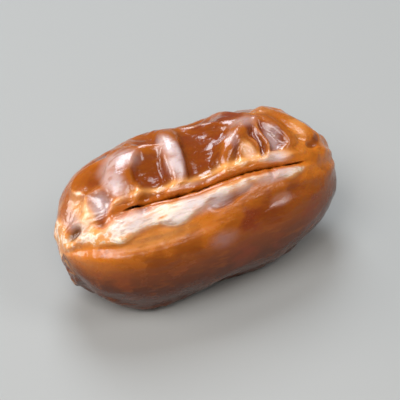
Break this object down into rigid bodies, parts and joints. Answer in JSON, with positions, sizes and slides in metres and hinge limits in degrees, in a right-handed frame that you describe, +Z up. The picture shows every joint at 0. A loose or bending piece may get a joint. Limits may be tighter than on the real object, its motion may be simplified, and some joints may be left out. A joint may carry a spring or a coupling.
{
  "type": "pitted date",
  "caption": "Dried date with its stone taken out: an oval fruit in glossy wrinkled skin, slit along one side over a narrow hollow.",
  "frame": {"origin": "under the middle of the date, on the surface that it lies on", "axes": "+X along the date from its stem end to its tip, +Z up, with the slit leaning from up towards -Y"},
  "size_m": [0.038, 0.0204, 0.019],
  "materials": {
    "date_skin": "glossy and wrinkled, caramel where the skin is loose and dark brown where it clings"
  },
  "bodies": {
    "root": {"pitted_date": "date_skin"}
  },
  "joints": []
}
